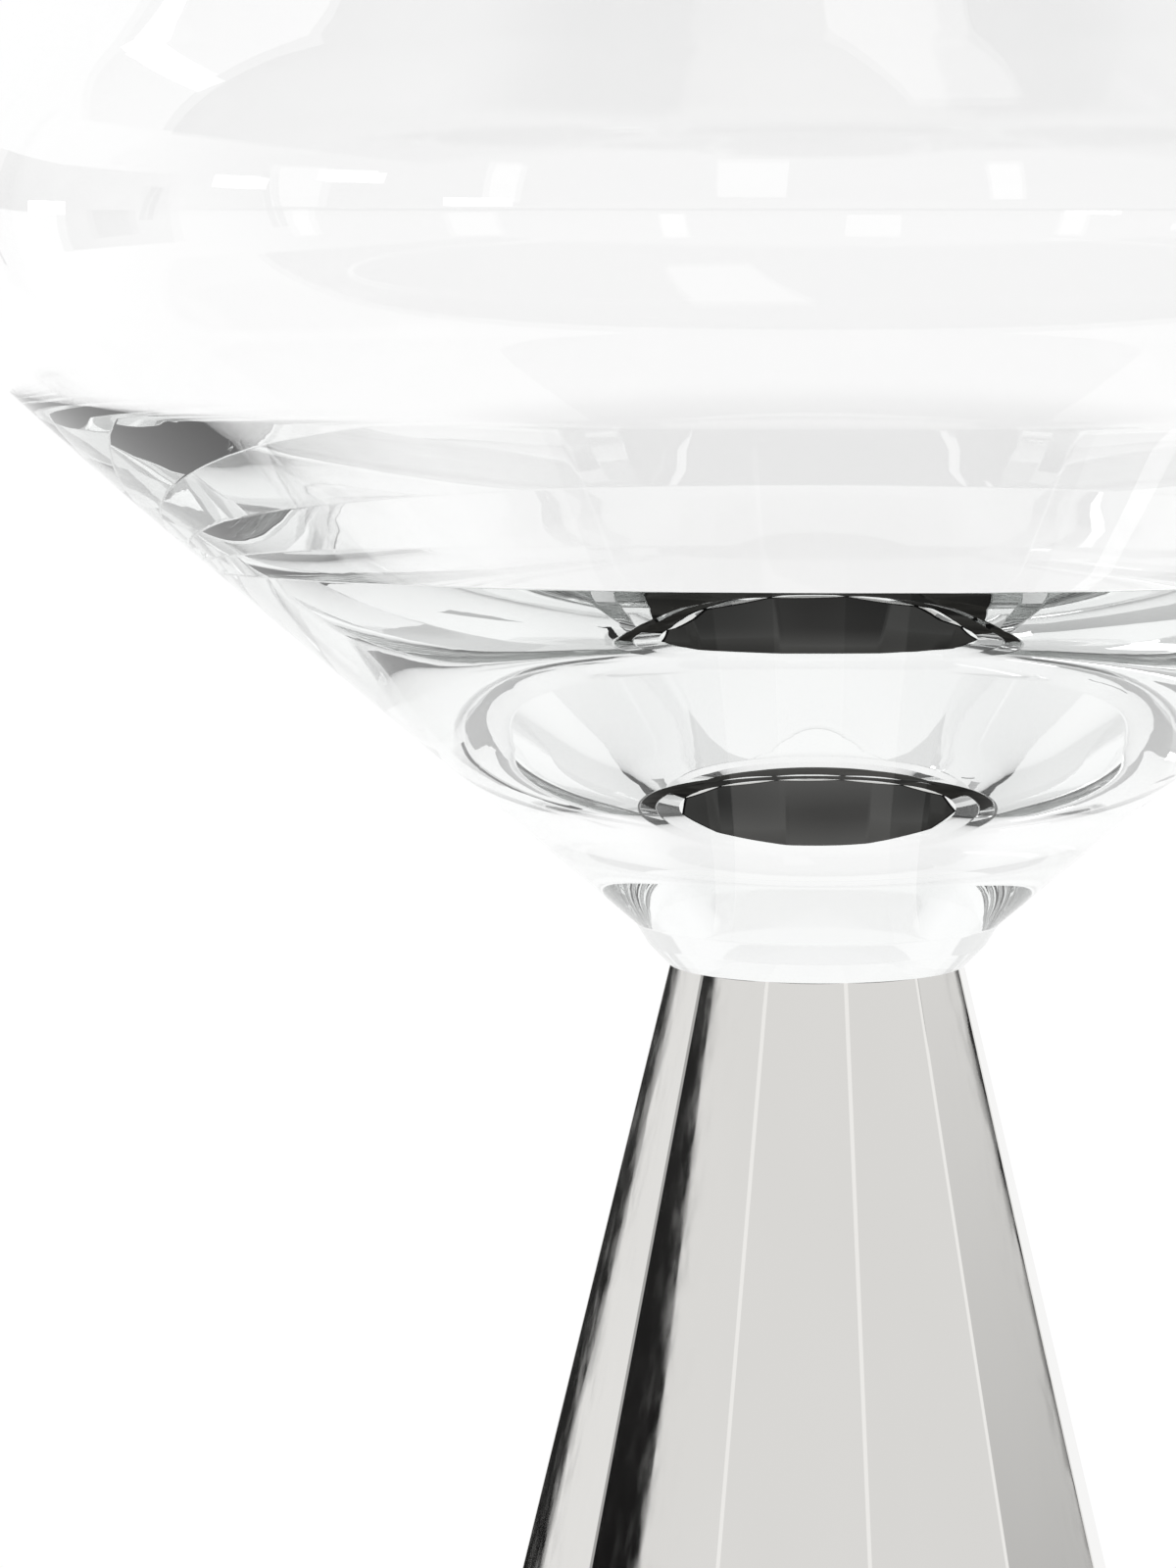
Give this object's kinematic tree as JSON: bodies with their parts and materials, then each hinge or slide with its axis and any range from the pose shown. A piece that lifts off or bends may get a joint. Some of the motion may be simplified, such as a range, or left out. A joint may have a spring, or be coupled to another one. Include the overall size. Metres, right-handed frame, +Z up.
{
  "type": "white wine glass",
  "caption": "Clear crystal white wine glass: a wide bowl with a rounded shoulder and a thick floor, on a solid faceted stem that widens to the table and has a mirror coat.",
  "frame": {"origin": "centre of the stem's underside, where the glass stands on the table", "axes": "+Z up along the axis of the bowl and stem, +X through one corner of the faceted stem"},
  "size_m": [0.0992, 0.0992, 0.16],
  "materials": {
    "crystal": "clear, fire polished",
    "mirror_coat": "mirror-bright fired metal coat"
  },
  "bodies": {
    "root": {"crystal": "crystal", "mirror_coat": "mirror_coat"}
  },
  "joints": []
}
